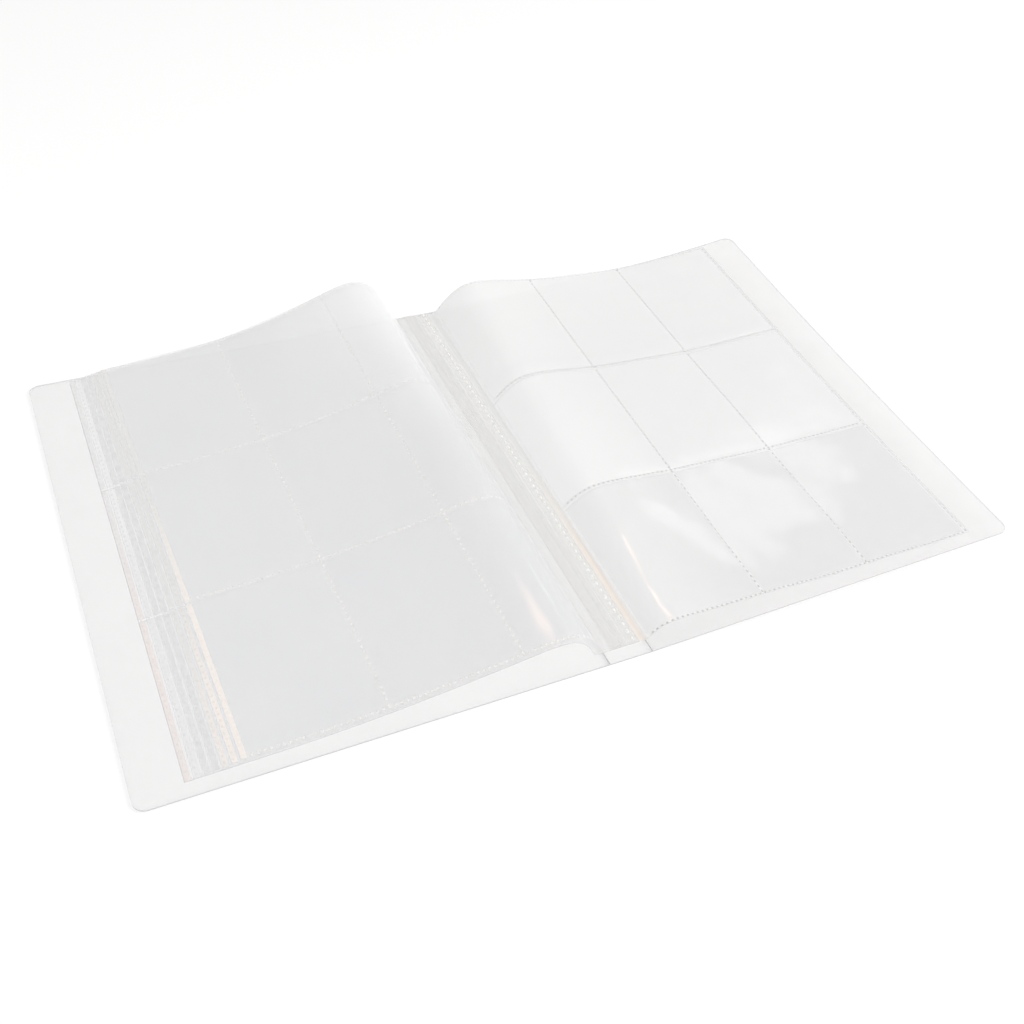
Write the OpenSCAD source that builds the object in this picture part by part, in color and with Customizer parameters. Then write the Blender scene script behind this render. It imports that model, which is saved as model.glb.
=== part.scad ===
// Instant photo album, lying open: a scored clear cover sheet with welded pocket leaves.
// X runs across the open album, Y along the spine towards the tops of the pages, Z up.
// The origin is on the table under the middle of the spine.

/* [Pockets] */
// Width of a pocket, from one seam between columns to the next
pocket_w = 64; // [54:0.5:110]
// Height of a pocket row, from its foot to the foot of the next
pocket_h = 93.5; // [60:0.5:120]
// Width of a seam between two pockets
seam_w = 1.6; // [1:0.1:3]
// Width of the seam along the outer edge of a leaf
edge_seam_w = 3; // [2:0.5:5]
// Width over which a pocket film lifts beside its seam
lift_w = 2; // [1:0.5:4]
// Depth of an empty pocket between its two films
pocket_gap = 0.1; // [0.08:0.02:0.2]
// Gap between the mouth of a pocket and the row above it
mouth_gap = 1.5; // [1:0.5:3]

/* [Cover] */
// Width of the spine between the two score lines
spine_w = 23; // [20:1:40]
// Thickness of the cover sheet
cover_t = 0.8; // [0.5:0.1:1.5]
// Radius of the outer corners of the covers
corner_r = 6; // [2:0.5:12]
// Width of the scored groove between the spine and each cover
score_w = 0.3; // [0.2:0.05:0.5]
// Angle at which the back cover rests above the table
back_cover_tilt = 2; // [0:0.5:4]

/* [Leaves] */
// Number of leaves lying on the front cover
left_leaf_count = 7; // [2:1:8]
// Number of leaves lying on the back cover
right_leaf_count = 1; // [1:1:2]
// Thickness of one film
film_t = 0.1; // [0.08:0.02:0.2]
// Air between one leaf and the next
leaf_gap = 0.3; // [0.2:0.05:0.5]
// Distance from the front edge of the covers to the leaves
front_margin = 7; // [3:0.5:12]
// Distance from the back edge of the covers to the leaves
back_margin = 2.5; // [2:0.5:12]
// Distance from a score line to the inmost pockets of the lowest leaf
inner_margin = 2; // [0:1:30]
// Distance from the outer edge of a cover to the lowest leaf on it
outer_margin = 22; // [12:1:35]
// How much further in each leaf of the stack ends than the one below it, at the front edge
step_front = 4; // [0:0.5:5]
// How much further in each leaf of the stack ends than the one below it, at the back edge
step_back = 3; // [0:0.5:5]
// Distance from a score line to the root of the topmost leaf
root_clear = 0.6; // [0.4:0.1:1.5]

/* [Bow of the leaves] */
// Height of the bow under the stack on the front cover, at the front edge
left_bow_front = 15; // [6:1:18]
// Height of the bow under the stack on the front cover, at the back edge
left_bow_back = 29; // [10:1:34]
// Height of the bow under the leaf on the back cover, at the front edge
right_bow_front = 7; // [3:1:12]
// Height of the bow under the leaf on the back cover, at the back edge
right_bow_back = 17; // [5:1:20]
// How far the bow leans out from its root, at the front edge
lean_front = 16; // [10:1:24]
// How far the bow leans out from its root, at the back edge
lean_back = 32; // [14:1:40]
// How far the bow reaches along the cover before it runs out flat
pull = 20; // [6:1:30]

/* [Binding] */
// Width of a welded bundle of leaf tabs on the spine
bundle_w = 5.5; // [4:0.5:8]
// Distance from a score line to the middle of its bundle
bundle_inset = 6.5; // [5:0.5:9]
// Height of the left bundle
left_bundle_h = 2.2; // [1.2:0.2:3]
// Height of the right bundle
right_bundle_h = 1.2; // [0.8:0.2:3]
// Radius of the weld ridge along the top of a bundle
ridge_r = 0.6; // [0.4:0.1:0.9]

/* [Hidden] */
$fn = 64;
leaf_t = 2 * film_t + pocket_gap;
leaf_pitch = leaf_t + leaf_gap;
row_names = ["bottom_row", "middle_row", "top_row"];
row_count = len(row_names);
column_count = 3;
page_h = row_count * pocket_h;
cover_h = page_h + front_margin + back_margin;
page_front = -cover_h / 2 + front_margin;
// Distances from a score line to the outer edges of the lowest leaf and of the cover
full_reach = inner_margin + column_count * pocket_w + edge_seam_w;
cover_w = full_reach + outer_margin;
score_x = spine_w / 2;
// A cubic curve whose first handle stands this many crests high has its crest at height 1
handle_per_crest = 9 / 4;
// Number of flats from the root of a leaf to the end of its bow
bow_flats = 8;
// Number of halvings that place a seam on the curve
halvings = 24;

LEFT = [for (k = [1:left_leaf_count]) str("left_leaf_", k)];
RIGHT = [for (k = [1:right_leaf_count]) str("right_leaf_", k)];
LEAF_PIECES = concat(["back_film"], row_names);

// A leaf is [number of leaves in its stack, its place from the bottom, bow at the front, bow at the back]
function left_leaf(k) = [left_leaf_count, k, left_bow_front, left_bow_back];
function right_leaf(k) = [right_leaf_count, k, right_bow_front, right_bow_back];

function mix(a, b, share) = a + (b - a) * share;
function share_at(y) = (y - page_front) / page_h;

// Distance from the score line to the root of the lowest leaf, which leaves room for the stack at the spine
function root_of(leaf) = root_clear + leaf[0] * leaf_pitch;

// Distance from the score line to the outer edge of a leaf
function reach_of(leaf, v) = full_reach - (leaf[1] - 1) * mix(step_front, step_back, v);

// Control points of the bow in the plane across the spine, as [distance from the score line, height]
function handles(leaf, v) =
    let (root = root_of(leaf))
    let (rise = handle_per_crest * mix(leaf[2], leaf[3], v))
    [[root, 0], [root + mix(lean_front, lean_back, v), rise], [root + pull, 0], [full_reach, 0]];

function bezier(p, t) =
    pow(1 - t, 3) * p[0] + 3 * pow(1 - t, 2) * t * p[1] + 3 * (1 - t) * pow(t, 2) * p[2] + pow(t, 3) * p[3];
function bezier_slope(p, t) =
    3 * pow(1 - t, 2) * (p[1] - p[0]) + 6 * (1 - t) * t * (p[2] - p[1]) + 3 * pow(t, 2) * (p[3] - p[2]);

// Place on the curve that lies a given distance from the score line, found by halving
function place_at(p, d, low = 0, high = 1, left = halvings) =
    let (middle = (low + high) / 2)
    left == 0 ? middle :
    bezier(p, middle)[0] < d ? place_at(p, d, middle, high, left - 1) : place_at(p, d, low, middle, left - 1);

// Point at a height above the curve, measured square to it
function above(p, t, height) =
    let (slope = bezier_slope(p, t))
    bezier(p, t) + height * [-slope[1], slope[0]] / norm(slope);

// Distances of the seam edges from the outer edge of a leaf, from the inmost to the outer edge.
// Each seam between columns has a lift, its two edges and a lift.
function seam_edges() = concat(
    [for (column = [column_count - 1:-1:1]) for (side = [1, -1])
        for (out = side > 0 ? [lift_w, 0] : [0, lift_w])
            edge_seam_w + column * pocket_w + side * (seam_w / 2 + out)],
    [edge_seam_w + lift_w, edge_seam_w, 0]
);
// Whether the pocket film touches the back film at each of those distances
SEAM_TOUCH = concat([for (column = [2:column_count]) each [0, 1, 1, 0]], [0, 1, 1]);
// The same along the bow, where the inner seam lies near the root
BOW_TOUCH = [for (i = [0:bow_flats]) i <= 1 ? 1 : 0];
TOUCH = concat(BOW_TOUCH, SEAM_TOUCH);

// Place where the bow of a stack ends, just inside the first seam of its topmost leaf
function bow_end(leaf, p, v) =
    let (topmost = [leaf[0], leaf[0], leaf[2], leaf[3]])
    place_at(p, reach_of(topmost, v) - seam_edges()[0] - lift_w);

// Places along the curve where a leaf has points, alike over the bow for all leaves of a stack
function places(leaf, p, v) = concat(
    [for (i = [0:bow_flats]) bow_end(leaf, p, v) * i / bow_flats],
    [for (e = seam_edges()) place_at(p, reach_of(leaf, v) - e)]
);

// Closed outline of a film across the spine at one Y: its lower side out and its upper side back
function film_ring(leaf, y, low, high) =
    let (v = share_at(y))
    let (p = handles(leaf, v))
    let (t = places(leaf, p, v))
    let (last = len(t) - 1)
    [for (q = concat(
        [for (i = [0:last]) above(p, t[i], low[i])],
        [for (i = [last:-1:0]) above(p, t[i], high[i])]
    )) [q[0], y, q[1]]];

// Solid through the outlines of a film. Its upper and lower sides are cut into triangles alike,
// because the bow twists, so that the film keeps its thickness.
module loft(rings) {
    n = len(rings[0]);
    sides = [for (r = [0:len(rings) - 2]) for (i = [0:n - 1])
        let (a = r * n + i)
        let (b = r * n + (i + 1) % n)
        each i < n / 2 ? [[a, b, b + n], [a, b + n, a + n]] : [[a, b, a + n], [b, b + n, a + n]]];
    end = (len(rings) - 1) * n;
    ends = [for (i = [0:n / 2 - 2])
        let (j = n - 1 - i)
        each [[j, j - 1, i], [j - 1, i + 1, i], [end + i, end + j - 1, end + j], [end + i, end + i + 1, end + j - 1]]];
    polyhedron([for (ring = rings) each ring], concat(sides, ends));
}

// Where a pocket row begins, along the spine
function foot_of(row) = page_front + row * pocket_h;

// Height of the underside of a leaf above the curve
function leaf_base(leaf) = leaf_gap + (leaf[1] - 1) * leaf_pitch;

// The sheet that carries the pockets of one leaf
module back_film(leaf) {
    low = [for (i = TOUCH) leaf_base(leaf)];
    high = [for (i = TOUCH) leaf_base(leaf) + film_t];
    feet = [for (row = [0:row_count - 1]) each [foot_of(row), foot_of(row) + seam_w + lift_w]];
    loft([for (y = concat(feet, [page_front + page_h])) film_ring(leaf, y, low, high)]);
}

// One row of three pockets, welded at its foot, its ends and between columns, open at the top
module pocket_row(leaf, row) {
    foot = foot_of(row);
    seat = leaf_base(leaf) + film_t;
    welded = [for (i = TOUCH) seat];
    lifted = [for (touch = TOUCH) seat + (touch ? 0 : pocket_gap)];
    top = film_t * [for (i = TOUCH) 1];
    mouth = row == row_count - 1 ? 0 : mouth_gap;
    loft([
        film_ring(leaf, foot, welded, welded + top),
        film_ring(leaf, foot + seam_w, welded, welded + top),
        film_ring(leaf, foot + seam_w + lift_w, lifted, lifted + top),
        film_ring(leaf, foot + pocket_h - mouth, lifted, lifted + top)
    ]);
}

// Places its children, drawn out from a score line, on the front cover
module on_front_cover() {
    mirror([1, 0, 0])
        translate([score_x, 0, cover_t])
            children();
}

// Places its children, drawn out from a score line, on the raised back cover
module on_back_cover() {
    translate([score_x, 0, cover_t])
        rotate([0, -back_cover_tilt, 0])
            children();
}

module leaf_piece(leaf, piece) {
    if (piece == "back_film") {
        back_film(leaf);
    } else {
        pocket_row(leaf, search([piece], row_names)[0]);
    }
}

// Outline of a cover, with square corners at the score line and round ones outside
module cover_outline() {
    difference() {
        translate([score_w / 2, -cover_h / 2])
            square([cover_w - score_w / 2, cover_h]);
        for (end = [-1, 1])
            translate([cover_w - corner_r, end * (cover_h / 2 - corner_r)])
                difference() {
                    translate([0, end > 0 ? 0 : -corner_r])
                        square(corner_r);
                    circle(corner_r);
                }
    }
}

module cover_panel() {
    translate([0, 0, -cover_t])
        linear_extrude(cover_t)
            cover_outline();
}

module front_cover() {
    color([0.94, 0.94, 0.94, 0.6])
        on_front_cover()
            cover_panel();
}

module back_cover() {
    color([0.94, 0.94, 0.94, 0.6])
        on_back_cover()
            cover_panel();
}

module spine() {
    color([0.93, 0.93, 0.93, 0.6])
        translate([-score_x + score_w / 2, -cover_h / 2, 0])
            cube([spine_w - score_w, cover_h, cover_t]);
}

// A bundle of leaf tabs welded flat to the spine, with the ridge of its weld along the middle
module binding(height) {
    translate([0, page_front + page_h, cover_t])
        rotate([90, 0, 0])
            linear_extrude(page_h)
                union() {
                    translate([-bundle_w / 2, 0])
                        square([bundle_w, height]);
                    translate([0, height])
                        circle(ridge_r);
                }
}

module left_binding() {
    color([0.86, 0.85, 0.82, 0.8])
        translate([bundle_inset - score_x, 0, 0])
            binding(left_bundle_h);
}

module right_binding() {
    color([0.86, 0.85, 0.82, 0.8])
        translate([score_x - bundle_inset, 0, 0])
            binding(right_bundle_h);
}

spine();
front_cover();
back_cover();
left_binding();
right_binding();
for (k = [1:left_leaf_count], piece = LEAF_PIECES)
    color([0.88, 0.89, 0.9, 0.5])
            on_front_cover()
                leaf_piece(left_leaf(k), piece);
for (k = [1:right_leaf_count], piece = LEAF_PIECES)
    color([0.92, 0.92, 0.93, 0.5])
            on_back_cover()
                leaf_piece(right_leaf(k), piece);
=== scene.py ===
"""Looks of the open instant photo album: clear pocket leaves, a frosted cover and a welded binding.

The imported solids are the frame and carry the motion. The films are rebuilt here as smooth sheets on
the same curves, with their weld seams. Lengths are in millimetres until a mesh is made.
"""

import math
from dataclasses import dataclass

import bpy
import numpy as np
from mathutils import Matrix, Vector

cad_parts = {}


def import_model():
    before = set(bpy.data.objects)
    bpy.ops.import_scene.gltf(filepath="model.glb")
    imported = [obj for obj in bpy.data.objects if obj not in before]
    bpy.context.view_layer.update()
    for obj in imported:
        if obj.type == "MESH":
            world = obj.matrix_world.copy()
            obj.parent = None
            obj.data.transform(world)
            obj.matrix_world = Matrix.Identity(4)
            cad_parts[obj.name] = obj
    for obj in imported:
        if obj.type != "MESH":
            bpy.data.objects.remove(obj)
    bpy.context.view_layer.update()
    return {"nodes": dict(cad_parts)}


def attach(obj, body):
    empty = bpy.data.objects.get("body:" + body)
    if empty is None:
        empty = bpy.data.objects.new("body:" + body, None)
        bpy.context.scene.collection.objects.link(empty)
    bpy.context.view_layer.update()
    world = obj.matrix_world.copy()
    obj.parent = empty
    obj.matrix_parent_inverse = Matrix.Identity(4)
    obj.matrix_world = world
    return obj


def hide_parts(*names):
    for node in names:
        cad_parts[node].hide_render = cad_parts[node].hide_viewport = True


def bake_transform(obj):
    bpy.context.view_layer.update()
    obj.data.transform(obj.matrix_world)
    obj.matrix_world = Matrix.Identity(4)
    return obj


MM = 0.001

# Sizes of the solids
POCKET_W, POCKET_H = 64.0, 93.5
SEAM_W, EDGE_SEAM_W, LIFT_W = 1.6, 3.0, 2.0
POCKET_GAP, MOUTH_GAP = 0.1, 1.5
CORNER_R = 6.0
SPINE_W, COVER_T, SCORE_W = 23.0, 0.8, 0.3
BACK_COVER_TILT = math.radians(2.0)
LEFT_LEAVES, RIGHT_LEAVES = 7, 1
FILM_T, LEAF_GAP = 0.1, 0.3
FRONT_MARGIN, BACK_MARGIN, INNER_MARGIN, OUTER_MARGIN = 7.0, 2.5, 2.0, 22.0
STEP_FRONT, STEP_BACK, ROOT_CLEAR = 4.0, 3.0, 0.6
LEFT_BOW, RIGHT_BOW = (15.0, 29.0), (7.0, 17.0)
LEAN, PULL = (16.0, 32.0), 20.0
BUNDLE_W, BUNDLE_INSET = 5.5, 6.5
BUNDLE_H = {"left": 2.2, "right": 1.2}

ROWS = ("bottom_row", "middle_row", "top_row")
COLUMNS = 3
LEAF_PITCH = 2 * FILM_T + POCKET_GAP + LEAF_GAP
PAGE_H = len(ROWS) * POCKET_H
COVER_H = PAGE_H + FRONT_MARGIN + BACK_MARGIN
PAGE_FRONT = FRONT_MARGIN - COVER_H / 2
PAGE_BACK = PAGE_FRONT + PAGE_H
FULL_REACH = INNER_MARGIN + COLUMNS * POCKET_W + EDGE_SEAM_W
COVER_W = FULL_REACH + OUTER_MARGIN
SCORE_X = SPINE_W / 2
HANDLE_PER_CREST = 9 / 4
HALVINGS = 26

# The two sides of the spine
SIGN = {"left": -1, "right": 1}

# Fineness of the sheets: points over the bow, round a corner and along a strip, and steps elsewhere
BOW_STATIONS, CORNER_STEPS, STRIP_ROWS = 30, 8, 60
STATION_STEP, ROW_STEP, PANEL_STEP = 8.0, 7.0, 8.0
# Width of a film's rim, and the angle from which a fold is shaded sharp
RIM_W, SHARP_ANGLE = 0.5, math.radians(40)

# Places along a curve, from 0 to 1: where a row of dots starts, how many measure its run, and a small step
FIRST_PLACE, PLACES, PLACE_STEP = 0.02, 600, 0.002
# A small step along the spine
Y_STEP = 0.2

# Layers of a bundle: the fewest, how much of its room each one fills, and its points across
MIN_LAYERS, LAYER_SHARE, LAYER_STEPS = 3, 0.8, 9
# How far a layer lies out of line and how far it sways along the spine, each with its change from layer to
# layer, and how far the lowest layer stands out past the top one towards the middle of the spine
LAYER_SHIFT, SHIFT_CHANGE, SHIFT_PHASE = 0.35, 2.4, 0.7
LAYER_SWAY, SWAY_L, SWAY_CHANGE = 0.12, 17.0, 1.3
FRAY = 4.0

# How far a tab ends before its leaf's root, how much higher it ends than the one below it, its thickness,
# and how far below the top of its layer it starts, as a share of the layer
TAB_SHORT, TAB_RISE, TAB_T, TAB_SEAT = 0.35, 0.17, 0.12, 0.4
# A tab's points across, its slack, and the length of the waves of that slack along the spine
TAB_STEPS, TAB_SLACK, TAB_WAVE_L = 13, 0.08, 13.0

# The web under a score line: its height, its thickness, its points across and how near the line a bend of
# it would lie
WEB_Z, WEB_T, WEB_STEPS, WEB_BEND = 0.2, 0.25, 5, 0.1

# How far the outer back corner of the back cover and its leaf curls up, and how steeply across and along
CORNER_CURL = 9.0
CURL_ACROSS, CURL_ALONG = 3, 2

# Weld dots, with their pitch measured along the seams in the photograph, and weld beads
COLUMN_PITCH, ROW_PITCH = 3.5, 2.8
DOT_SHARE, DOT_W, DOT_H = 0.45, 1.2, 0.12
BEAD_PITCH, BEAD_L, BEAD_W, BEAD_H = 4.7, 2.6, 1.6, 0.8

# How far the pockets of an uncovered leaf and of a covered one swell, the share of it that they have above
# the foot, and how steeply it grows towards the mouth
OPEN_SWELL, SHUT_SWELL = 0.7, 0.06
FOOT_SWELL, SWELL_POWER = 0.25, 1.5

# Slack of the films: its height, the widths over which it comes in at the roots and goes out at the edges,
# and its waves, each with a length across the leaf, a length along it and a phase
LEFT_SLACK, RIGHT_SLACK = 0.35, 0.45
SLACK_START, LEFT_SLACK_END, RIGHT_SLACK_END = 15.0, 40.0, 25.0
LEFT_WAVES = ((21, 57, 0.6), (-90, 34, 1.1))
RIGHT_WAVES = ((17, -41, 0.4), (47, 23, 0.0))
# A shorter wave on the right leaf, its share, and the share of that leaf's slack at the back
RIGHT_RIPPLE, RIPPLE_SHARE, BACK_SLACK = (11, 19, 2.0), 0.6, 0.25

# Spans along X and Y, in metres, over which a leaf is painted paler where it bows up, as painted light on
# its hump
LEFT_PAINTED_LIGHT_SPAN = ((-0.11, -0.03), (-0.01, 0.13))
RIGHT_PAINTED_LIGHT_SPAN = ((0.075, 0.03), (0.2, 0.0))
# Span along Y, in metres, over which the right leaf turns hazier at the back
BACK_SPAN = (0.06, 0.125)

FILM_IOR, WELD_IOR, EDGE_IOR, COVER_IOR = 1.8, 1.6, 1.5, 1.49
# The two tints of a film, and how many times as hazy it is seen edge on
COOL, WARM, EDGE_ON_HAZE = (0.995, 0.997, 1.0), (1.004, 1.004, 1.003), 1.2
# Colour of the cover sheet's cut edges, and how opaque they are
CUT_COLOUR, CUT_ALPHA = (0.62, 0.62, 0.63, 1), 0.7

# The floor, in metres, and the light of the room
FLOOR_HALF, FLOOR_DROP = 4.0, 0.0002
ROOM_LIGHT = 0.805

# The photograph's camera
CAMERA_AT = Vector((-0.22607, -0.42451, 0.4313))
CAMERA_LOOKS_AT = Vector((-0.01312, -0.03581, 0.0))
CAMERA_ROLL = math.radians(-6.547)
CAMERA_LENS, CAMERA_SENSOR = 41.212, 36
CAMERA_NEAR, CAMERA_FAR = 0.01, 20


def mix(a, b, share):
    return a + (b - a) * share


@dataclass(frozen=True)
class Leaf:
    """One pocket leaf: its side, its place from the bottom of its stack, and that stack's count and bow."""

    side: str
    place: int
    count: int
    bow: tuple

    @property
    def name(self):
        return f"{self.side}_leaf_{self.place}"

    @property
    def base(self):
        """Height of the underside above the curve."""
        return LEAF_GAP + (self.place - 1) * LEAF_PITCH

    @property
    def uncovered(self):
        return self.place == self.count


LEAVES = [Leaf("left", k, LEFT_LEAVES, LEFT_BOW) for k in range(1, LEFT_LEAVES + 1)]
LEAVES += [Leaf("right", k, RIGHT_LEAVES, RIGHT_BOW) for k in range(1, RIGHT_LEAVES + 1)]


# Curves of the leaves. y has the shape (rows, 1) and t the shape (rows, stations).


def share_along(y):
    return (y - PAGE_FRONT) / PAGE_H


def root_reach(leaf):
    """Distance of the roots of a stack from the score line."""
    return ROOT_CLEAR + leaf.count * LEAF_PITCH


def handles(leaf, y):
    """Control points of the bow as (distance from the score line, height)."""
    v = share_along(y)
    none = np.zeros_like(v)
    root = root_reach(leaf) + none
    rise = HANDLE_PER_CREST * mix(*leaf.bow, v)
    first, second = [root + mix(*LEAN, v), rise], [root + PULL, none]
    return np.array([[root, none], first, second, [FULL_REACH + none, none]])


def bezier(p, t):
    return (1 - t) ** 3 * p[0] + 3 * (1 - t) ** 2 * t * p[1] + 3 * (1 - t) * t**2 * p[2] + t**3 * p[3]


def bezier_slope(p, t):
    return 3 * (1 - t) ** 2 * (p[1] - p[0]) + 6 * (1 - t) * t * (p[2] - p[1]) + 3 * t**2 * (p[3] - p[2])


def place_at(p, d):
    """Place on the curve at a distance d from the score line."""
    low, high = np.zeros_like(d), np.ones_like(d)
    for _ in range(HALVINGS):
        middle = (low + high) / 2
        short = bezier(p, middle)[0] < d
        low, high = np.where(short, middle, low), np.where(short, high, middle)
    return (low + high) / 2


def reach(place, y):
    return FULL_REACH - (place - 1) * mix(STEP_FRONT, STEP_BACK, share_along(y))


def from_root(leaf, d):
    """How far a film has come from its root into the part that is slack, from 0 to 1."""
    return np.clip((d - root_reach(leaf)) / SLACK_START, 0, 1)


def wave(lengths, d, y):
    across, along, phase = lengths
    return np.sin(d / across + y / along + phase)


def waves(leaf, d, y):
    """Slack of a stack: long soft waves, the same for each of its leaves, none at the roots and edges."""
    if leaf.side == "left":
        first, second = LEFT_WAVES
        slack = LEFT_SLACK * (1 + wave(first, d, y) * wave(second, d, y))
        end = LEFT_SLACK_END
    else:
        first, second = RIGHT_WAVES
        heave = wave(first, d, y) * wave(second, d, y) + RIPPLE_SHARE * wave(RIGHT_RIPPLE, d, y)
        slack = RIGHT_SLACK * (1 + RIPPLE_SHARE + heave)
        slack = slack * np.clip(1 + BACK_SLACK - share_along(y), BACK_SLACK, 1)
        end = RIGHT_SLACK_END
    return slack * np.clip((FULL_REACH - d) / end, 0, 1) * from_root(leaf, d)


def in_frame(side, d, y, z):
    """A point beside a score line, in the frame of the part."""
    y = np.broadcast_to(y, d.shape)
    if side == "left":
        return np.stack([-(SCORE_X + d), y, COVER_T + z], -1)
    c, s = math.cos(BACK_COVER_TILT), math.sin(BACK_COVER_TILT)
    across, along = np.clip(d / COVER_W, 0, 1), np.clip(y / COVER_H + 0.5, 0, 1)
    z = z + CORNER_CURL * across**CURL_ACROSS * along**CURL_ALONG
    return np.stack([SCORE_X + d * c - z * s, y, COVER_T + d * s + z * c], -1)


def surface(leaf, y, t, height):
    """Points at a height above the curve, square to it."""
    p = handles(leaf, y)
    at, slope = bezier(p, t), bezier_slope(p, t)
    up = np.array([-slope[1], slope[0]]) / np.hypot(*slope)
    d, z = at + (height + waves(leaf, at[0], y)) * up
    return in_frame(leaf.side, d, y, z)


def column_seams():
    """Distances of the seams between columns from the outer edge, inmost first."""
    return [EDGE_SEAM_W + column * POCKET_W for column in range(COLUMNS - 1, 0, -1)]


def edge_stations():
    """Points of a sheet by their distance from the outer edge, inmost first.

    Each comes with how far the sheet stands off its seams there, from 0 to 1.
    """
    out = []
    seams = column_seams() + [EDGE_SEAM_W / 2]
    for seam, half in zip(seams, [SEAM_W / 2] * (COLUMNS - 1) + [EDGE_SEAM_W / 2]):
        if out:
            start, end = out[-1][0], seam + half + LIFT_W
            steps = max(2, round((start - end) / STATION_STEP))
            out += [(mix(start, end, i / steps), 1.0) for i in range(1, steps)]
        out += [(seam + half + LIFT_W, 1.0), (seam + half + LIFT_W / 2, 0.5), (seam + half, 0.0)]
        if seam != seams[-1]:
            out += [(seam - half, 0.0), (seam - half - LIFT_W / 2, 0.5), (seam - half - LIFT_W, 1.0)]
    out += [(RIM_W, 0.0), (0.0, 0.0)]
    return out


def stations(leaf, y):
    """Places of a sheet's points along its curve, and the pocket film's standoff there, from 0 to 1."""
    p = handles(leaf, y)
    edges = edge_stations()
    inmost = place_at(p, reach(leaf.count, y) - edges[0][0] - LIFT_W)
    bow = inmost * np.linspace(0, 1, BOW_STATIONS + 1)
    flat = place_at(p, reach(leaf.place, y) - np.array([e for e, _ in edges]))
    off = [min(1.0, max(0.0, i / 2 - 0.5)) for i in range(BOW_STATIONS + 1)] + [o for _, o in edges]
    return np.concatenate([bow, flat], 1), np.array(off)


def pillow(leaf, y):
    """Swell of the pockets across a leaf: 0 at the seams and the root, 1 in the middle of a pocket."""
    bounds = [EDGE_SEAM_W, *column_seams()[::-1], EDGE_SEAM_W + COLUMNS * POCKET_W]
    t, _ = stations(leaf, y)
    d = bezier(handles(leaf, y), t)[0]
    e = reach(leaf.place, y) - d
    out = np.zeros_like(e)
    for low, high in zip(bounds, bounds[1:]):
        inside = (e > low) & (e < high)
        out = np.where(inside, np.sin(math.pi * np.clip((e - low) / (high - low), 0, 1)) ** 2, out)
    return out * from_root(leaf, d)


# Meshes


def new_object(name, vertices, faces, materials, index=None):
    """A smooth mesh object from points in millimetres, with sharp folds kept sharp."""
    mesh = bpy.data.meshes.new(name)
    mesh.from_pydata((np.asarray(vertices) * MM).tolist(), [], [tuple(f) for f in faces])
    for material in materials:
        mesh.materials.append(material)
    if index is not None:
        mesh.polygons.foreach_set("material_index", np.asarray(index, np.int32))
    mesh.polygons.foreach_set("use_smooth", np.full(len(mesh.polygons), True))
    mesh.update()
    mesh.set_sharp_from_angle(angle=SHARP_ANGLE)
    made = bpy.data.objects.new(name, mesh)
    bpy.context.scene.collection.objects.link(made)
    return made


def sheet(name, low, high, materials, band, under=None):
    """A closed sheet between two grids of points.

    band gives the material of each cell above and, unless under does, below. The rim takes the last
    material.
    """
    number = np.arange(low[..., 0].size).reshape(low.shape[:2])
    count = number.size
    corners = number[:-1, :-1], number[:-1, 1:], number[1:, 1:], number[1:, :-1]
    cells = np.stack(corners, -1).reshape(-1, 4)
    loop = np.concatenate([number[0, :-1], number[:-1, -1], number[-1, :0:-1], number[:0:-1, 0]])
    after = np.roll(loop, -1)
    rim = np.stack([loop, after, after + count, loop + count], -1)
    faces = np.concatenate([cells + count, cells[:, ::-1], rim])
    across, along, up = high[0, 1] - high[0, 0], high[1, 0] - high[0, 0], high[0, 0] - low[0, 0]
    if np.cross(across, along) @ up < 0:
        faces = faces[:, ::-1]
    under = band if under is None else under
    index = np.concatenate([band.ravel(), under.ravel(), np.full(len(rim), len(materials) - 1)])
    points = np.concatenate([low.reshape(-1, 3), high.reshape(-1, 3)])
    return new_object(name, points, faces, materials, index)


def dome(sides=8, rings=((1.0, 0.0), (0.86, 0.6), (0.5, 0.92))):
    """A unit dome as points and faces, closed below."""
    turn = np.arange(sides) * 2 * math.pi / sides
    points = [np.stack([r * np.cos(turn), r * np.sin(turn), np.full(sides, h)], -1) for r, h in rings]
    points.append(np.array([[0, 0, 1.0]]))
    faces = []
    for ring in range(len(rings) - 1):
        low, high = ring * sides, (ring + 1) * sides
        for i in range(sides):
            j = (i + 1) % sides
            faces.append((low + i, low + j, high + j, high + i))
    last = (len(rings) - 1) * sides
    faces += [(last + i, last + (i + 1) % sides, last + sides) for i in range(sides)]
    faces.append(tuple(range(sides - 1, -1, -1)))
    return np.concatenate(points), faces


DOME = dome()


def dots(name, spots, size, materials):
    """Small domes on a surface.

    spots is (place, along, across), each with the shape (n, 3).
    size is a dome's half length, half width and height.
    """
    place, along, across = spots
    along = along / np.linalg.norm(along, axis=1, keepdims=True)
    up = np.cross(along, across)
    up /= np.linalg.norm(up, axis=1, keepdims=True)
    up *= np.where(up[:, 2:] < 0, -1.0, 1.0)
    across = np.cross(up, along)
    shape, faces = DOME
    size = np.broadcast_to(size, (len(place), 3))
    axes = np.stack([along, across, up], 1) * size[:, :, None]
    points = place[:, None] + np.einsum("vk,nkc->nvc", shape, axes)
    count = len(shape)
    all_faces = [tuple(n * count + i for i in face) for n in range(len(place)) for face in faces]
    return new_object(name, points.reshape(-1, 3), all_faces, materials)


# Materials


def principled(name, **values):
    """A material with one Principled shader and its constant values set on the shader's own sockets."""
    material = bpy.data.materials.new(name)
    material.use_nodes = True
    shader = material.node_tree.nodes["Principled BSDF"]
    for socket, value in values.items():
        shader.inputs[socket.replace("_", " ")].default_value = value
    return material, material.node_tree, shader


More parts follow.
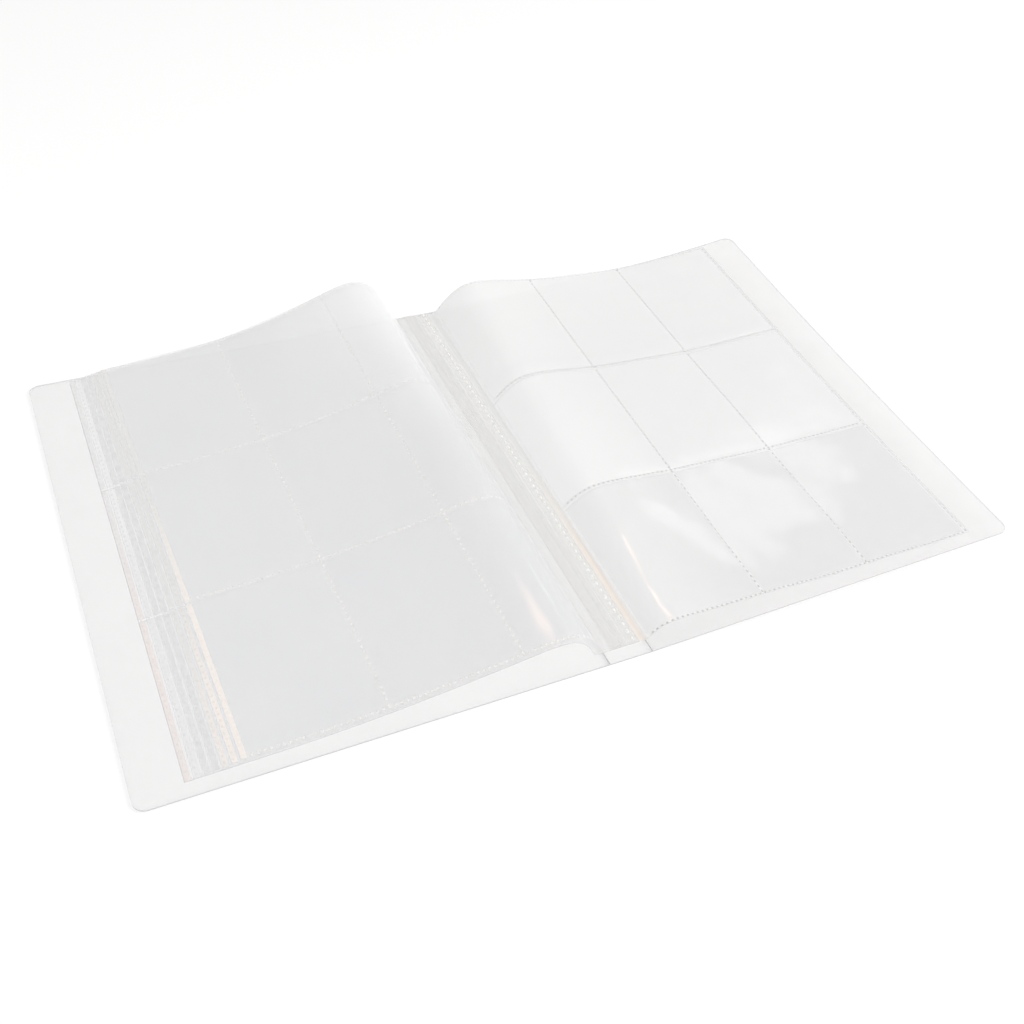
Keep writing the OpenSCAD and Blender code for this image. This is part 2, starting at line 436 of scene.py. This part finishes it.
def noise(tree, scale, detail, stretch=(1, 1, 1)):
    """Noise over a piece's own coordinates, with scale in features per metre."""
    place = tree.nodes.new("ShaderNodeTexCoord")
    mapping = tree.nodes.new("ShaderNodeMapping")
    mapping.inputs["Scale"].default_value = stretch
    texture = tree.nodes.new("ShaderNodeTexNoise")
    texture.inputs["Scale"].default_value = scale
    texture.inputs["Detail"].default_value = detail
    tree.links.new(place.outputs["Object"], mapping.inputs["Vector"])
    tree.links.new(mapping.outputs["Vector"], texture.inputs["Vector"])
    return texture.outputs["Fac"]


def spread(tree, factor, low, high, start=0.3, end=0.7):
    """A factor mapped to a range of values, as it goes from start to end."""
    node = tree.nodes.new("ShaderNodeMapRange")
    node.inputs["From Min"].default_value = start
    node.inputs["From Max"].default_value = end
    node.inputs["To Min"].default_value = low
    node.inputs["To Max"].default_value = high
    tree.links.new(factor, node.inputs["Value"])
    return node.outputs["Result"]


def colours(tree, factor, stops):
    """A colour ramp over a factor, between two (place, colour) stops."""
    ramp = tree.nodes.new("ShaderNodeValToRGB")
    for element, (place, colour) in zip(ramp.color_ramp.elements, stops):
        element.position = place
        element.color = (*colour, 1)
    tree.links.new(factor, ramp.inputs["Fac"])
    return ramp.outputs["Color"]


def bump(tree, shader, height, distance, strength):
    """Bumps the shader's normal by a height, with the distance in metres."""
    node = tree.nodes.new("ShaderNodeBump")
    node.inputs["Distance"].default_value = distance
    node.inputs["Strength"].default_value = strength
    tree.links.new(height, node.inputs["Height"])
    tree.links.new(node.outputs["Normal"], shader.inputs["Normal"])


def axis_share(tree, axis, start, end):
    """How far a point lies along a piece's own axis between two places in metres, from 0 to 1."""
    place = tree.nodes.new("ShaderNodeTexCoord")
    split = tree.nodes.new("ShaderNodeSeparateXYZ")
    tree.links.new(place.outputs["Object"], split.inputs["Vector"])
    return spread(tree, split.outputs[axis], 0, 1, start, end)


def film_material(
    name, tone, alpha, roughness=0.25, ripple=0.0, crest_painted_light_tone=None, painted_light_span=LEFT_PAINTED_LIGHT_SPAN, back_haze=None
):
    """Clear glossy film: nearly colourless and hazy, with ripples of a height in metres.

    The crest tone is a paler tone painted where the leaf bows up, as painted light on its hump, and the
    crest spans are the spans along X and Y over which it comes in. back_haze is how many times as hazy the
    film is at the back.
    """
    material, tree, shader = principled(name, Roughness=roughness, IOR=FILM_IOR)
    cool, warm = ([part * tone for part in tint] for tint in (COOL, WARM))
    tint = colours(tree, noise(tree, scale=24, detail=1), [(0.35, cool), (0.65, warm)])
    # Painted light: the colour is mixed towards a paler tone over the crest spans, where the leaf bows up
    if crest_painted_light_tone:
        share = tree.nodes.new("ShaderNodeMath")
        share.operation = "MULTIPLY"
        for axis, span, socket in zip("XY", painted_light_span, share.inputs):
            tree.links.new(axis_share(tree, axis, *span), socket)
        painted_light_mix = tree.nodes.new("ShaderNodeMix")
        painted_light_mix.data_type = "RGBA"
        painted_light_mix.inputs["B"].default_value = (crest_painted_light_tone, crest_painted_light_tone, crest_painted_light_tone, 1)
        tree.links.new(share.outputs["Value"], painted_light_mix.inputs["Factor"])
        tree.links.new(tint, painted_light_mix.inputs["A"])
        tint = painted_light_mix.outputs["Result"]
    tree.links.new(tint, shader.inputs["Base Color"])
    facing = tree.nodes.new("ShaderNodeLayerWeight")
    facing.inputs["Blend"].default_value = 0.35
    haze = spread(tree, facing.outputs["Facing"], alpha, EDGE_ON_HAZE * alpha, start=0.3, end=1.0)
    if back_haze:
        thicker = tree.nodes.new("ShaderNodeMath")
        thicker.operation = "MULTIPLY"
        tree.links.new(haze, thicker.inputs[0])
        growth = spread(tree, axis_share(tree, "Y", *BACK_SPAN), 1, back_haze, start=0, end=1)
        tree.links.new(growth, thicker.inputs[1])
        haze = thicker.outputs["Value"]
    tree.links.new(haze, shader.inputs["Alpha"])
    if ripple:
        bump(tree, shader, noise(tree, scale=35, detail=1), distance=ripple, strength=0.5)
    return material


def inside_material():
    """The face of a film inside a pocket, which lies on the other film and passes nearly all light."""
    material = bpy.data.materials.new("pocket_inside")
    material.use_nodes = True
    tree = material.node_tree
    tree.nodes.remove(tree.nodes["Principled BSDF"])
    clear = tree.nodes.new("ShaderNodeBsdfTransparent")
    stops = [(0.3, (0.9932, 0.9942, 0.9962)), (0.7, (0.9948, 0.9956, 0.9972))]
    tint = colours(tree, noise(tree, scale=30, detail=0), stops)
    tree.links.new(tint, clear.inputs["Color"])
    tree.links.new(clear.outputs["BSDF"], tree.nodes["Material Output"].inputs["Surface"])
    return material


def speckled_material(name, low, high, alpha, roughness=0.3, grain=400):
    """Film that heat or a knife has clouded: weld strips, dots, beads, tabs and cut rims; the pale weld
    dots of the uncovered left leaf also carry a painted highlight.
    """
    material, tree, shader = principled(name, Roughness=roughness, IOR=EDGE_IOR)
    tint = colours(tree, noise(tree, scale=grain, detail=1), [(0.3, low), (0.7, high)])
    tree.links.new(tint, shader.inputs["Base Color"])
    haze = spread(tree, noise(tree, scale=grain / 2, detail=1), 0.85 * alpha, alpha)
    tree.links.new(haze, shader.inputs["Alpha"])
    return material


def graded_material(name, back, front, alpha, span=(-0.05, 0.07)):
    """Clouded film whose colour changes along the spine over a span in metres, with streaks. The change
    carries painted light: painted warm reflections and a painted highlight.
    """
    material, tree, shader = principled(name, Roughness=0.3, IOR=WELD_IOR)
    streaks = noise(tree, scale=300, detail=2, stretch=(1, 0.05, 1))
    wander = tree.nodes.new("ShaderNodeMath")
    wander.operation = "MULTIPLY_ADD"
    wander.inputs[1].default_value = 0.5
    tree.links.new(streaks, wander.inputs[0])
    tree.links.new(axis_share(tree, "Y", *span), wander.inputs[2])
    tint = colours(tree, wander.outputs["Value"], [(0.25, front), (1.0, back)])
    tree.links.new(tint, shader.inputs["Base Color"])
    tree.links.new(spread(tree, streaks, 0.75 * alpha, alpha), shader.inputs["Alpha"])
    return material


def cover_material(name, tone, alpha):
    """Frosted sheet: finely grained, milky, and darker on its cut edges."""
    material, tree, shader = principled(name, IOR=COVER_IOR, Specular_IOR_Level=0.2)
    upright = tree.nodes.new("ShaderNodeSeparateXYZ")
    own = tree.nodes.new("ShaderNodeTexCoord")
    tree.links.new(own.outputs["Normal"], upright.inputs["Vector"])
    flat = tree.nodes.new("ShaderNodeMath")
    flat.operation = "ABSOLUTE"
    tree.links.new(upright.outputs["Z"], flat.inputs[0])
    clouds = noise(tree, scale=40, detail=3)
    face = colours(tree, clouds, [(0.3, [0.985 * tone] * 3), (0.7, [1.015 * tone] * 3)])
    cut = tree.nodes.new("ShaderNodeMix")
    cut.data_type = "RGBA"
    cut.inputs["A"].default_value = CUT_COLOUR
    tree.links.new(flat.outputs["Value"], cut.inputs["Factor"])
    tree.links.new(face, cut.inputs["B"])
    tree.links.new(cut.outputs["Result"], shader.inputs["Base Color"])
    frost = spread(tree, noise(tree, scale=600, detail=3), 0.42, 0.58)
    tree.links.new(frost, shader.inputs["Roughness"])
    haze = spread(tree, flat.outputs["Value"], CUT_ALPHA, alpha, start=0.2, end=0.8)
    tree.links.new(haze, shader.inputs["Alpha"])
    bump(tree, shader, noise(tree, scale=1600, detail=2), distance=0.00008, strength=0.35)
    return material


def bundle_material():
    """Film ends stacked and welded together, streaked along the spine."""
    material, tree, shader = principled("welded_film", IOR=WELD_IOR)
    streaks = noise(tree, scale=600, detail=2, stretch=(1, 0.006, 1))
    tint = colours(tree, streaks, [(0.3, (0.66, 0.658, 0.65)), (0.7, (0.70, 0.698, 0.692))])
    tree.links.new(tint, shader.inputs["Base Color"])
    gloss = spread(tree, noise(tree, scale=700, detail=2, stretch=(1, 0.02, 1)), 0.2, 0.35)
    tree.links.new(gloss, shader.inputs["Roughness"])
    tree.links.new(spread(tree, streaks, 0.14, 0.3), shader.inputs["Alpha"])
    bump(tree, shader, streaks, distance=0.0002, strength=0.25)
    return material


def floor_material():
    material, tree, shader = principled("pale_floor", Roughness=0.9, Specular_IOR_Level=0.1)
    stops = [(0.3, (0.93, 0.93, 0.93)), (0.7, (0.935, 0.935, 0.935))]
    tint = colours(tree, noise(tree, scale=3, detail=2), stops)
    tree.links.new(tint, shader.inputs["Base Color"])
    return material


# Pieces of the leaves

# Material slots of a film: its face, a seam, its face inside a pocket, its outer seam and its rim
FILM, SEAM, INSIDE, STRIP, RIM = range(5)


def steps_along(start, end):
    return np.linspace(start, end, max(2, round((end - start) / ROW_STEP)) + 1)


def make_back_film(leaf, looks):
    """The sheet that carries the pockets of a leaf."""
    steps = steps_along(PAGE_FRONT + RIM_W, PAGE_BACK - RIM_W)
    y = np.concatenate([[PAGE_FRONT], steps, [PAGE_BACK]])[:, None]
    t, _ = stations(leaf, y)
    low = surface(leaf, y, t, leaf.base)
    high = surface(leaf, y, t, leaf.base + FILM_T)
    band = np.full((len(y) - 1, t.shape[1] - 1), FILM)
    inner = np.full_like(band, INSIDE)
    for grid in (band, inner):
        grid[:, -1] = RIM
        grid[0, :] = grid[-1, :] = RIM
    return sheet(f"{leaf.name}_back_sheet", low, high, looks, inner, band if leaf.uncovered else inner)


def make_pocket_row(leaf, row, looks):
    """One row of pockets: a film welded at its foot, its ends and between columns, with an open mouth."""
    foot = PAGE_FRONT + row * POCKET_H
    mouth = foot + POCKET_H - (0 if row == len(ROWS) - 1 else MOUTH_GAP)
    lifted = foot + SEAM_W + LIFT_W
    weld = [foot, foot + SEAM_W, foot + SEAM_W + LIFT_W / 2]
    y = np.concatenate([weld, steps_along(lifted, mouth - RIM_W), [mouth]])[:, None]
    rise = np.clip((y - foot - SEAM_W) / LIFT_W, 0, 1)
    open_share = np.clip((y - lifted) / (mouth - lifted), 0, 1) ** SWELL_POWER
    t, off = stations(leaf, y)
    swell = OPEN_SWELL if leaf.uncovered else SHUT_SWELL
    swell = swell * mix(FOOT_SWELL, 1.0, open_share) * pillow(leaf, y)
    stand = rise * (off * POCKET_GAP + swell)
    seat = leaf.base + FILM_T + stand
    low, high = surface(leaf, y, t, seat), surface(leaf, y, t, seat + FILM_T)
    band = np.full((len(y) - 1, t.shape[1] - 1), FILM)
    welded = (off[:-1] == 0) & (off[1:] == 0)
    band[:, welded] = SEAM
    band[0, :] = SEAM
    band[:, -2] = STRIP
    band[-1, :] = RIM
    band[:, -1] = RIM
    inner = np.where(band == FILM, INSIDE, band)
    return sheet(f"{leaf.name}_{ROWS[row]}_sheet", low, high, looks, band, inner)


def seam_spots(leaf, y, t, height):
    """Places on a leaf with the directions along the spine and across it, for lists of y and t."""
    y, t = np.asarray(y, float)[:, None], np.asarray(t, float)[:, None]
    place = surface(leaf, y, t, height)[:, 0]
    along = surface(leaf, y + Y_STEP, t, height) - surface(leaf, y - Y_STEP, t, height)
    across = surface(leaf, y, t + PLACE_STEP, height) - surface(leaf, y, t - PLACE_STEP, height)
    return place, along[:, 0], across[:, 0]


def even_places(leaf, y, pitch):
    """Places evenly spaced along a leaf's curve at one y, from near its root to its edge."""
    at_y = np.array([[y]])
    last = place_at(handles(leaf, at_y), reach(leaf.place, at_y) - EDGE_SEAM_W)[0, 0]
    fine = np.linspace(FIRST_PLACE, last, PLACES)
    line = surface(leaf, at_y, fine[None], leaf.base)[0]
    run = np.concatenate([[0], np.cumsum(np.linalg.norm(np.diff(line, axis=0), axis=1))])
    return np.interp(np.arange(pitch, run[-1], pitch), run, fine)


def column_dots(leaf, name, distances, dot):
    """Weld dots along the spine at distances from the outer edge of a leaf."""
    ys = np.arange(PAGE_FRONT + COLUMN_PITCH / 2, PAGE_BACK, COLUMN_PITCH)
    at_y = ys[:, None]
    places = [place_at(handles(leaf, at_y), reach(leaf.place, at_y) - e)[:, 0] for e in distances]
    groups = [seam_spots(leaf, ys, t, leaf.base + 2 * FILM_T) for t in places]
    spots = [np.concatenate(parts) for parts in zip(*groups)]
    return dots(f"{leaf.name}_{name}", spots, (COLUMN_PITCH * DOT_SHARE / 2, DOT_W / 2, DOT_H), [dot])


def row_dots(leaf, name, dot):
    """Weld dots across a leaf at the foot of each row and along its top."""
    lines = [PAGE_FRONT + row * POCKET_H + SEAM_W / 2 for row in range(len(ROWS))]
    lines.append(PAGE_BACK - SEAM_W / 2)
    top = leaf.base + 2 * FILM_T
    places = [even_places(leaf, y, ROW_PITCH) for y in lines]
    groups = [seam_spots(leaf, np.full(len(t), y), t, top) for y, t in zip(lines, places)]
    spots = [np.concatenate(parts) for parts in zip(*groups)]
    return dots(f"{leaf.name}_{name}", spots, (DOT_W / 2, ROW_PITCH * DOT_SHARE / 2, DOT_H), [dot])


def see_through(piece):
    """Lets light pass a film unhindered: only the camera sees its haze."""
    piece.visible_shadow = False
    piece.visible_diffuse = False
    piece.visible_glossy = False


def dress_leaf(leaf, films, edge_dot, dot, front_film=None):
    """Builds a leaf's sheets and seams in place of its solids. The front row may have a film of its own."""
    sheets = [(make_back_film(leaf, films), "back_film")]
    for row, name in enumerate(ROWS):
        looks = [front_film, *films[1:]] if front_film and row == 0 else films
        sheets.append((make_pocket_row(leaf, row, looks), name))
    for piece, node in sheets:
        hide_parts(f"{leaf.name}_{node}")
    pieces = [piece for piece, _ in sheets]
    pieces.append(column_dots(leaf, "edge_dots", [EDGE_SEAM_W / 2], edge_dot))
    pieces.append(column_dots(leaf, "column_dots", column_seams(), dot))
    pieces.append(row_dots(leaf, "row_dots", dot))
    for piece in pieces:
        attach(piece, leaf.name)
        see_through(piece)


def make_back_cover(look):
    """The back cover as a sheet with round outer corners that has curled a little at the back."""
    half = COVER_H / 2
    turn = np.linspace(0, math.pi / 2, CORNER_STEPS, endpoint=False)
    corner = half - CORNER_R * (1 - np.cos(turn))
    y = np.concatenate([-corner, steps_along(CORNER_R - half, half - CORNER_R), corner[::-1]])[:, None]
    over = np.clip(np.abs(y) - (half - CORNER_R), 0, CORNER_R)
    end = COVER_W - CORNER_R + np.sqrt(CORNER_R**2 - over**2)
    start = SCORE_W / 2
    d = start + (end - start) * np.linspace(0, 1, round(COVER_W / PANEL_STEP))
    low, high = (in_frame("right", d, y, np.full_like(d, z)) for z in (-COVER_T, 0.0))
    band = np.zeros((len(y) - 1, d.shape[1] - 1), int)
    return sheet("back_cover_sheet", low, high, [look], band)


# Pieces of the binding


def strip(name, line, thick, materials):
    """A strip of film along the spine: line(y) gives its middle line across the spine as (x, z) points."""
    ys = np.linspace(PAGE_FRONT, PAGE_BACK, STRIP_ROWS)
    middle = np.array([[(x, y, z) for x, z in line(y)] for y in ys])
    run = np.gradient(middle, axis=1)
    up = np.stack([-run[..., 2], np.zeros(run.shape[:2]), run[..., 0]], -1)
    up /= np.linalg.norm(up, axis=-1, keepdims=True)
    band = np.zeros((len(ys) - 1, middle.shape[1] - 1), int)
    return sheet(name, middle - up * thick / 2, middle + up * thick / 2, materials, band)


def root_point(leaf, y):
    """Middle of a leaf's root edge at one y."""
    return surface(leaf, np.array([[y]]), np.array([[0.0]]), leaf.base + 1.5 * FILM_T)[0, 0]


def make_tab(leaf, looks):
    """The tab of a leaf, from the welded bundle on the spine over the score line to the leaf's root."""
    sign = SIGN[leaf.side]
    level = COVER_T + BUNDLE_H[leaf.side] * (leaf.place - TAB_SEAT) / leaf.count
    inner = sign * (SCORE_X - BUNDLE_INSET + BUNDLE_W / 2)
    end = COVER_T + TAB_T + (leaf.place - 1) * TAB_RISE

    def line(y):
        x = root_point(leaf, y)[0]
        ease = np.linspace(0, 1, TAB_STEPS)
        slack = TAB_SLACK * abs(math.sin(y / TAB_WAVE_L + leaf.place)) * np.sin(math.pi * ease)
        rise = mix(level, end, ease**2 * (3 - 2 * ease)) + slack
        return list(zip(mix(inner, x - sign * TAB_SHORT, ease), rise))

    return strip(f"{leaf.name}_tab", line, TAB_T, looks)


def make_bundle(side, count, looks):
    """Tabs stacked flat on the spine and welded, each a little out of line with the next."""
    sign, height = SIGN[side], BUNDLE_H[side]
    centre = sign * (SCORE_X - BUNDLE_INSET)
    pieces = []
    for layer in range(count):
        level = COVER_T + height * (layer + 0.5) / count
        shift = LAYER_SHIFT * math.sin(SHIFT_CHANGE * layer + SHIFT_PHASE)

        def line(y, level=level, shift=shift, layer=layer):
            sway = LAYER_SWAY * math.sin(y / SWAY_L + SWAY_CHANGE * layer)
            inner = -sign * (BUNDLE_W / 2 + FRAY * (1 - (layer + 1) / count))
            across = np.linspace(inner, sign * BUNDLE_W / 2, LAYER_STEPS)[::sign]
            return [(centre + a + shift + sway, level) for a in across]

        thick = LAYER_SHARE * height / count
        pieces.append(strip(f"{side}_bundle_layer_{layer + 1}", line, thick, looks))
    return pieces


def make_beads(side, looks):
    """The row of weld beads along the top of a bundle."""
    x, z = SIGN[side] * (SCORE_X - BUNDLE_INSET), COVER_T + BUNDLE_H[side]
    ys = np.arange(PAGE_FRONT + BEAD_PITCH / 2, PAGE_BACK, BEAD_PITCH)
    place = np.array([(x, y, z) for y in ys])
    along = np.tile([0.0, 1.0, 0.0], (len(ys), 1))
    across = np.tile([1.0, 0.0, 0.0], (len(ys), 1))
    size = BEAD_L / 2, BEAD_W / 2, BEAD_H
    return dots(f"{side}_weld_beads", (place, along, across), size, looks)


def make_score_web(side, looks):
    """The thin web that is left under the scored groove between the spine and a cover."""

    def line(_):
        return [(SIGN[side] * (SCORE_X + s * SCORE_W), WEB_Z) for s in np.linspace(-0.5, 0.5, WEB_STEPS)]

    return strip(f"{side}_score_web", line, WEB_T, looks)


def bend(piece):
    """Bakes the transform of a piece into its mesh."""
    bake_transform(piece)


def dress_binding(side, layer, tab, rim, bead=None):
    """Builds the welded bundle of a stack, the tabs to its leaves and the web under the score line."""
    leaves = [leaf for leaf in LEAVES if leaf.side == side]
    fixed = make_bundle(side, max(MIN_LAYERS, len(leaves)), [layer, rim])
    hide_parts(f"{side}_binding")
    if bead:
        fixed.append(make_beads(side, [bead]))
    for piece in fixed:
        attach(piece, "spine")
        see_through(piece)
    for piece in [make_tab(leaf, [tab, rim]) for leaf in leaves]:
        bend(piece)
        see_through(piece)
    web = make_score_web(side, [rim, rim])
    bend(web)


# Stage


def make_floor():
    corners = [(-1, -1), (1, -1), (1, 1), (-1, 1)]
    mesh = bpy.data.meshes.new("floor")
    mesh.from_pydata([(x * FLOOR_HALF, y * FLOOR_HALF, 0) for x, y in corners], [], [(0, 1, 2, 3)])
    mesh.materials.append(floor_material())
    floor = bpy.data.objects.new("floor", mesh)
    floor.location.z = -FLOOR_DROP
    bpy.context.scene.collection.objects.link(floor)


def make_light(name, at, target, size, power, colour=(1, 1, 1)):
    light = bpy.data.lights.new(name, "AREA")
    light.shape = "RECTANGLE"
    light.size, light.size_y = size
    light.energy = power
    light.color = colour
    made = bpy.data.objects.new(name, light)
    made.location = at
    made.rotation_mode = "QUATERNION"
    made.rotation_quaternion = (Vector(target) - Vector(at)).to_track_quat("-Z", "Y")
    bpy.context.scene.collection.objects.link(made)


def make_world():
    world = bpy.data.worlds.new("studio")
    world.use_nodes = True
    background = world.node_tree.nodes["Background"]
    background.inputs["Color"].default_value = (1, 1, 1, 1)
    background.inputs["Strength"].default_value = ROOM_LIGHT
    bpy.context.scene.world = world


def make_camera():
    camera = bpy.data.cameras.new("camera")
    camera.lens = CAMERA_LENS
    camera.sensor_width = CAMERA_SENSOR
    camera.clip_start, camera.clip_end = CAMERA_NEAR, CAMERA_FAR
    made = bpy.data.objects.new("camera", camera)
    ahead = (CAMERA_LOOKS_AT - CAMERA_AT).normalized()
    right = ahead.cross(Vector((0, 0, 1))).normalized()
    right.rotate(Matrix.Rotation(CAMERA_ROLL, 3, ahead))
    up = right.cross(ahead)
    turn = Matrix((right, up, -ahead)).transposed().to_4x4()
    made.matrix_world = Matrix.Translation(CAMERA_AT) @ turn
    bpy.context.scene.collection.objects.link(made)
    bpy.context.scene.camera = made


def make_stage():
    make_floor()
    make_world()
    make_light("key", at=(-0.7, -0.3, 1.9), target=(0, 0, 0), size=(1.2, 1.2), power=8.7)
    make_light("fill", at=(1.5, -0.4, 0.8), target=(0, 0, 0), size=(1.0, 1.0), power=10)
    # Two small cards that are mirrored in the films, for the reflections in the photograph
    make_light(
        "white_card", at=(0.76, 0.56, 0.8), target=(0.12, -0.08, 0), size=(0.14, 0.14), power=0.085
    )
    make_light(
        "warm_card",
        at=(0.15, 0.31, 0.83),
        target=(-0.06, -0.115, 0.01),
        size=(0.14, 0.06),
        power=0.16,
        colour=(1.0, 0.62, 0.42),
    )
    make_camera()
    scene = bpy.context.scene
    scene.view_settings.view_transform = "Standard"
    scene.view_settings.look = "None"
    scene.cycles.max_bounces = 5
    scene.cycles.diffuse_bounces = 3
    scene.cycles.glossy_bounces = 2
    scene.cycles.transparent_max_bounces = 64


def edge_strips():
    """Looks of the weld strips along the left leaves' outer edges, by place. Some carry painted light: a
    painted highlight on the second, and painted warm reflections towards the front on the lowest and the
    top three.
    """
    grey = (0.69, 0.685, 0.67)
    plain = speckled_material("edge_strip", (0.63, 0.63, 0.63), (0.68, 0.68, 0.675), 0.4)
    # Painted light: the second strip is painted paler as a painted highlight; the lowest and the top three
    # turn warm towards the front as painted warm reflections
    painted_light_strips = {
        1: graded_material("lowest_edge_strip", (0.69, 0.69, 0.69), (0.74, 0.66, 0.63), 0.45),
        2: graded_material("edge_strip_painted_highlight", (0.76, 0.76, 0.76), (0.72, 0.72, 0.73), 0.55),
        5: graded_material("warm_edge_strip_5", grey, (0.80, 0.74, 0.69), 0.5, (-0.125, -0.05)),
        6: graded_material("warm_edge_strip_6", grey, (0.85, 0.775, 0.715), 0.55, (-0.105, -0.01)),
        7: graded_material("warm_edge_strip_7", grey, (0.87, 0.79, 0.73), 0.5, (-0.06, 0.07)),
    }
    return {place: painted_light_strips.get(place, plain) for place in range(1, LEFT_LEAVES + 1)}


def dress_left_leaves(inside):
    # Both films are painted paler where the leaves bow up, as painted light on the hump
    open_film = film_material(
        "pocket_film", tone=0.715, alpha=0.3, roughness=0.15, ripple=0.0003, crest_painted_light_tone=0.83
    )
    covered_film = film_material("covered_film", tone=0.715, alpha=0.21, crest_painted_light_tone=0.83)
    lowest_rim = speckled_material("lowest_edge", (0.55, 0.54, 0.55), (0.62, 0.60, 0.61), 0.45, 0.4)
    rim = speckled_material("covered_edge", (0.67, 0.67, 0.68), (0.72, 0.72, 0.72), 0.3, 0.4)
    seam = speckled_material("pale_weld_strip", (0.70, 0.695, 0.67), (0.74, 0.73, 0.71), 0.25)
    # The uncovered leaf's weld dots are painted pale, a painted highlight over their clouded colour
    pale_dot = speckled_material("pale_weld_dots_painted_highlight", (0.82, 0.80, 0.76), (0.87, 0.85, 0.81), 0.4)
    fan_dot = speckled_material("edge_weld_dots", (0.66, 0.65, 0.63), (0.72, 0.71, 0.70), 0.3)
    faint_dot = speckled_material("covered_weld_dots", (0.74, 0.74, 0.73), (0.79, 0.79, 0.78), 0.08)
    strips = edge_strips()
    for leaf in LEAVES:
        if leaf.side != "left":
            continue
        edge = strips[leaf.place]
        if leaf.uncovered:
            dress_leaf(leaf, [open_film, seam, inside, edge, rim], pale_dot, pale_dot)
        else:
            leaf_rim = lowest_rim if leaf.place == 1 else rim
            dress_leaf(leaf, [covered_film, covered_film, inside, edge, leaf_rim], fan_dot, faint_dot)


def dress_right_leaf(inside):
    # The single leaf's film is painted paler than the left leaves' film: its own tone with a painted
    # reflection over it. Its front row has a darker film of its own, painted shade where it mirrors less
    # light. Both are painted paler still where the leaf bows up, as painted light.
    film = film_material(
        "single_leaf_film",
        tone=0.785,
        alpha=0.4,
        roughness=0.12,
        ripple=0.001,
        crest_painted_light_tone=0.87,
        painted_light_span=RIGHT_PAINTED_LIGHT_SPAN,
        back_haze=1.5,
    )
    front_film = film_material(
        "front_row_film_painted_shade",
        tone=0.64,
        alpha=0.4,
        roughness=0.1,
        ripple=0.0016,
        crest_painted_light_tone=0.75,
        painted_light_span=RIGHT_PAINTED_LIGHT_SPAN,
    )
    rim = speckled_material("film_edge", (0.62, 0.62, 0.63), (0.69, 0.69, 0.69), 0.3, 0.4)
    seam = speckled_material("weld_strip", (0.76, 0.76, 0.76), (0.80, 0.80, 0.795), 0.12)
    dot = speckled_material("dark_weld_dots", (0.42, 0.42, 0.42), (0.49, 0.49, 0.485), 0.75)
    for leaf in LEAVES:
        if leaf.side == "right":
            dress_leaf(leaf, [film, seam, inside, seam, rim], dot, dot, front_film)


def dress_spine():
    bundle = bundle_material()
    rim = speckled_material("welded_edge", (0.59, 0.58, 0.56), (0.67, 0.66, 0.65), 0.4)
    flank = speckled_material("left_tabs", (0.72, 0.72, 0.72), (0.75, 0.75, 0.75), 0.14, 0.2, 60)
    # The right tabs turn warm towards the front: a painted warm reflection over their grey
    warm = graded_material("right_tabs_painted_warm_reflection", (0.69, 0.69, 0.68), (0.77, 0.69, 0.61), 0.45, (-0.08, 0.03))
    bead = speckled_material("weld_beads", (0.80, 0.79, 0.75), (0.90, 0.89, 0.86), 0.8, 0.15)
    dress_binding("left", bundle, flank, rim)
    dress_binding("right", bundle, warm, rim, bead)


def main():
    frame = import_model()
    cover = cover_material("cover_sheet", 0.865, 0.2)
    for node in ("spine", "front_cover"):
        materials = frame["nodes"][node].data.materials
        materials.clear()
        materials.append(cover)
    # The back cover casts no shadow, so its sheet is painted darker and hazier than the sheet of the spine
    # and front cover: painted shade in place of the shadow that would be seen through it
    back_cover = make_back_cover(cover_material("raised_cover_sheet_painted_shade", 0.75, 0.36))
    back_cover.visible_shadow = False
    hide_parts("back_cover")
    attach(back_cover, "back_cover")
    inside = inside_material()
    dress_left_leaves(inside)
    dress_right_leaf(inside)
    dress_spine()
    make_stage()


main()
